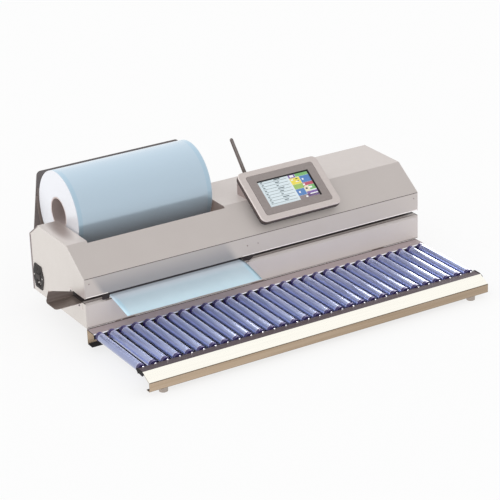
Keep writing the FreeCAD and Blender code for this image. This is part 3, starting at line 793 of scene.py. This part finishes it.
def on_slope(x, along, lift):
    y = along * math.cos(SLOPE) - lift * math.sin(SLOPE)
    z = FASCIA_TOP + along * math.sin(SLOPE) + lift * math.cos(SLOPE)
    return at(x, y, z)


def slope_place(p):
    """How far a point lies up the slope, and above it."""
    y, z = p.y, p.z - FASCIA_TOP
    return y * math.cos(SLOPE) + z * math.sin(SLOPE), z * math.cos(SLOPE) - y * math.sin(SLOPE)


def in_window(p):
    along = slope_place(p)[0]
    return (abs(p.x - WINDOW_X - WINDOW_WIDTH / 2) < WINDOW_WIDTH / 2 + 0.2
            and abs(along - WINDOW_START - WINDOW_LENGTH / 2) < WINDOW_LENGTH / 2 + 0.2)


def dress_display():
    give("display_bracket", shaded_bracket_plastic)
    give("display_frame", frame_plastic())
    # Painted shade on the rear shell below the frame.
    give_faces("display_frame", window_black_and_shade, lambda p, n: slope_place(p)[1] < DISPLAY_LIFT - 0.05)
    give("display_bezel", bezel_plastic)
    give_faces("display_bezel", bezel_edge_shade, lambda p, n: n.z < 0.5)
    give_faces("display_bezel", window_black_and_shade, lambda p, n: in_window(p))
    give("display_screen", glass)
    give("antenna", antenna_plastic)


KEYS = (
    ("purple", 0.60, 0.73, 0.85, 1.00), ("green", 0.735, 1.00, 0.86, 1.00),
    ("yellow", 0.60, 0.785, 0.60, 0.845), ("blue", 0.79, 1.00, 0.60, 0.855),
    ("lime", 0.60, 0.785, 0.42, 0.595), ("red", 0.79, 1.00, 0.48, 0.595),
    ("green", 0.865, 1.00, 0.30, 0.475), ("cream", 0.77, 0.86, 0.26, 0.475),
    ("blue", 0.60, 0.765, 0.17, 0.415), ("purple", 0.77, 1.00, 0.07, 0.255),
    ("brown", 0.60, 1.00, 0.00, 0.165))
KEY_COLOURS = {
    "purple": (132, 104, 168), "green": (122, 186, 112), "yellow": (236, 218, 84), "blue": (84, 130, 190),
    "red": (186, 76, 100), "cream": (236, 226, 196), "lime": (158, 192, 96), "brown": (146, 132, 134),
    "white": (246, 246, 250), "line": (92, 108, 114), "panel": (226, 232, 236), "black": (20, 18, 20)}

# Lift of each kind of tile above the glass, so that the upper ones cover the lower
PANEL_LIFT = 0.05
KEY_LIFT = 0.10
MARK_LIFT = 0.15
SIGN_LIFT = 0.18
EDGE_LIFT = 0.2

# Marks on the keys: left, right, low and high share of the window
WHITE_MARKS = (
    (0.63, 0.70, 0.88, 0.96), (0.62, 0.66, 0.76, 0.80), (0.69, 0.76, 0.68, 0.71), (0.82, 0.85, 0.70, 0.76),
    (0.79, 0.82, 0.50, 0.56), (0.64, 0.67, 0.27, 0.33), (0.72, 0.76, 0.06, 0.12), (0.82, 0.97, 0.14, 0.175),
    (0.86, 0.92, 0.36, 0.42))
BLACK_MARKS = ((0.71, 0.75, 0.78, 0.81), (0.79, 0.83, 0.35, 0.40), (0.73, 0.76, 0.70, 0.72))
# Painted shade along the screen's right and top edges, below the window's walls.
SHADE_EDGES = ((0.978, 1.0, 0.0, 1.0), (0.0, 1.0, 0.972, 1.0))
LIST_ROWS = 9


def screen_tile(bm, place, lift):
    """A flat tile over the glass; place is its left, right, low and high share of the window."""
    u0, u1, v0, v1 = place
    corners = []
    for u, v in ((u0, v0), (u1, v0), (u1, v1), (u0, v1)):
        x, along = WINDOW_X + u * WINDOW_WIDTH, WINDOW_START + v * WINDOW_LENGTH
        corners.append(bm.verts.new(on_slope(x, along, GLASS_LIFT + lift)))
    bm.faces.new(corners)


def screen_picture():
    """A list with thin rules on the left and coloured keys on the right, laid on the glass."""
    tiles = {name: [] for name in KEY_COLOURS}
    tiles["panel"].append(((0.595, 1.0, 0.0, 1.0), PANEL_LIFT))
    for colour, *place in KEYS:
        tiles[colour].append((place, KEY_LIFT))
    tiles["black"] += [(place, EDGE_LIFT) for place in SHADE_EDGES]
    tiles["white"] += [(place, MARK_LIFT) for place in WHITE_MARKS]
    tiles["black"] += [(place, SIGN_LIFT) for place in BLACK_MARKS]
    for i in range(1, LIST_ROWS):
        v = i / LIST_ROWS
        tiles["line"].append(((0.05, 0.56, v, v + 0.012), KEY_LIFT))
        tiles["line"].append(((0.06, 0.10, v + 0.04, v + 0.075), KEY_LIFT))
        tiles["line"].append(((0.32, 0.32 + 0.04 * (1 + i % 3), v + 0.04, v + 0.075), KEY_LIFT))
    for name, places in tiles.items():
        bm = bmesh.new()
        for place, lift in places:
            screen_tile(bm, place, lift)
        look = Look("screen_" + name, KEY_COLOURS[name], 0.3).mottle(60.0, 0.03)
        mesh_piece("screen_" + name, bm, look, shade=False)


# Small pieces of the table

BUTTON = [(-0.3, 2.3), (1.2, 2.3), (2.3, 1.9), (3.0, 1.1), (3.2, 0)]
BUTTON_FROM_CAP = 6.2
BUTTON_ASIDE = 0.6
TABLE_LENGTH = 992.0
SHEET_OUT = 1.2
SHEET_IN = 0.3


def glint_buttons():
    """A small polished button on the front ledge before each roller, put as a painted highlight where each
    front cap shows a glint.
    """
    bm = bmesh.new()
    for name in ROLLERS:
        low, high = (local(corner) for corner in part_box(name))
        middle = (low.x + high.x) / 2 + BUTTON_ASIDE
        turned(bm, at(middle, ROLLER_FRONT - BUTTON_FROM_CAP, 0), (0, 0, 1), BUTTON, 16)
    mesh_piece("glint_buttons", bm, polished_and_highlight_steel)


def ledge_seal():
    """Thin brown strip that closes the joint between the rear ledge and the base."""
    bm = bmesh.new()
    block(bm, (1.0, -3.4, -1.6), (TABLE_LENGTH - 1.0, -0.1, 0.7))
    mesh_piece("ledge_seal", bm, seal_rubber, shade=False)


def nose_end_shade_sheets():
    """Dark sheets under the ledge at both ends of the front rail: painted shade in the rail's open ends."""
    outline = ((ROLLER_FRONT + 3, -2.0), (ROLLER_FRONT - 3, 1.2), (LEDGE_FRONT + 4, 1.2),
               (LEDGE_FRONT - 9, -4.0), (LEDGE_FRONT, -12.0), (ROLLER_FRONT - 3, -9.0))
    bm = bmesh.new()
    for sides in ((-SHEET_OUT, SHEET_IN), (TABLE_LENGTH - SHEET_IN, TABLE_LENGTH + SHEET_OUT)):
        prism(bm, *([at(x, y, z) for y, z in outline] for x in sides))
    mesh_piece("nose_end_shade_sheets", bm, black_pan_and_shade_steel, shade=False)


# World, lamps and floor. The key lights from the left, the fill from below the front,
# and the rim and the edge lamp light the rollers alone, from the right.

WORLD_STRENGTH = 0.8
KEY_STRENGTH = 0.75 * math.pi
KEY_DIRECTION = Vector((-0.78, 0.38, 0.5))
FILL_STRENGTH = 0.4 * math.pi
FILL_DIRECTION = Vector((0.0, -0.9, -0.436))
RIM_STRENGTH = 0.85 * math.pi
RIM_DIRECTION = Vector((0.86, 0.1, 0.5))
EDGE_STRENGTH = 2.0 * math.pi
EDGE_DIRECTION = Vector((0.6, 0.79, 0.12))


def seen_directly(tree, share=1.0):
    """1 for camera, glossy and transmission rays, so that they meet a white background."""
    path = tree.nodes.new("ShaderNodeLightPath")
    value = path.outputs["Is Camera Ray"]
    for name in ("Is Glossy Ray", "Is Transmission Ray"):
        either = tree.nodes.new("ShaderNodeMath")
        either.operation = "MAXIMUM"
        tree.links.new(value, either.inputs[0])
        tree.links.new(path.outputs[name], either.inputs[1])
        value = either.outputs[0]
    scaled = tree.nodes.new("ShaderNodeMath")
    scaled.operation = "MULTIPLY"
    tree.links.new(value, scaled.inputs[0])
    scaled.inputs[1].default_value = share
    return scaled.outputs[0]


def blended(tree, output, dull, white, share=1.0):
    mixed = tree.nodes.new("ShaderNodeMixShader")
    tree.links.new(seen_directly(tree, share), mixed.inputs[0])
    tree.links.new(dull.outputs[0], mixed.inputs[1])
    tree.links.new(white.outputs[0], mixed.inputs[2])
    tree.links.new(mixed.outputs[0], output.inputs[0])


def sun(name, strength, direction, lit=(), unlit=(), wide=25):
    """A soft lamp without shadow, for all pieces, for those in lit alone, or for all but those in unlit."""
    light = bpy.data.lights.new(name, "SUN")
    light.energy = strength
    light.angle = math.radians(wide)
    light.use_shadow = False
    lamp = bpy.data.objects.new(name, light)
    sc.collection.objects.link(lamp)
    lamp.rotation_euler = direction.to_track_quat("Z", "Y").to_euler()
    if lit or unlit:
        group = bpy.data.collections.new(name + "_pieces")
        for piece in (*lit, *unlit):
            group.objects.link(nodes[piece])
        lamp.light_linking.receiver_collection = group
        for member in group.collection_objects:
            member.light_linking.link_state = "INCLUDE" if lit else "EXCLUDE"


def studio():
    world = bpy.data.worlds.new("studio")
    sc.world = world
    world.use_nodes = True
    tree = world.node_tree
    tree.nodes.clear()
    white = tree.nodes.new("ShaderNodeBackground")
    white.inputs[0].default_value = (1, 1, 1, 1)
    lit = tree.nodes.new("ShaderNodeBackground")
    lit.inputs[0].default_value = (1, 1, 1, 1)
    lit.inputs[1].default_value = WORLD_STRENGTH
    blended(tree, tree.nodes.new("ShaderNodeOutputWorld"), lit, white)
    sun("key", KEY_STRENGTH, KEY_DIRECTION, unlit=[*ROLLERS, "table_pan"])
    sun("fill", FILL_STRENGTH, FILL_DIRECTION, unlit=["pouch_roll", "roll_core"])
    sun("rim", RIM_STRENGTH, RIM_DIRECTION, lit=ROLLERS)
    sun("edge", EDGE_STRENGTH, EDGE_DIRECTION, lit=ROLLERS, wide=60)


FLOOR_HALF = 14.0
FLOOR_GREY = 0.8
FLOOR_GLOW = 0.68


def floor():
    bm = bmesh.new()
    signs = ((-1, -1), (1, -1), (1, 1), (-1, 1))
    bm.faces.new([bm.verts.new((x * FLOOR_HALF, y * FLOOR_HALF, 0)) for x, y in signs])
    mesh = bpy.data.meshes.new("floor")
    bm.to_mesh(mesh)
    bm.free()
    obj = bpy.data.objects.new("floor", mesh)
    sc.collection.objects.link(obj)
    mat = bpy.data.materials.new("floor")
    mat.use_nodes = True
    tree = mat.node_tree
    tree.nodes.clear()
    diffuse = tree.nodes.new("ShaderNodeBsdfDiffuse")
    diffuse.inputs[0].default_value = (FLOOR_GREY, FLOOR_GREY, FLOOR_GREY, 1)
    glow = tree.nodes.new("ShaderNodeEmission")
    blended(tree, tree.nodes.new("ShaderNodeOutputMaterial"), diffuse, glow, FLOOR_GLOW)
    mesh.materials.append(mat)


camera()
dress_housing()
dress_table()
dress_reel()
dress_inlet()
dress_display()
dress_chute()
film_tongue()
cover_screws()
film_guides()
slope_seam_shade()
inlet_details()
screen_picture()
glint_buttons()
ledge_seal()
nose_end_shade_sheets()
studio()
floor()
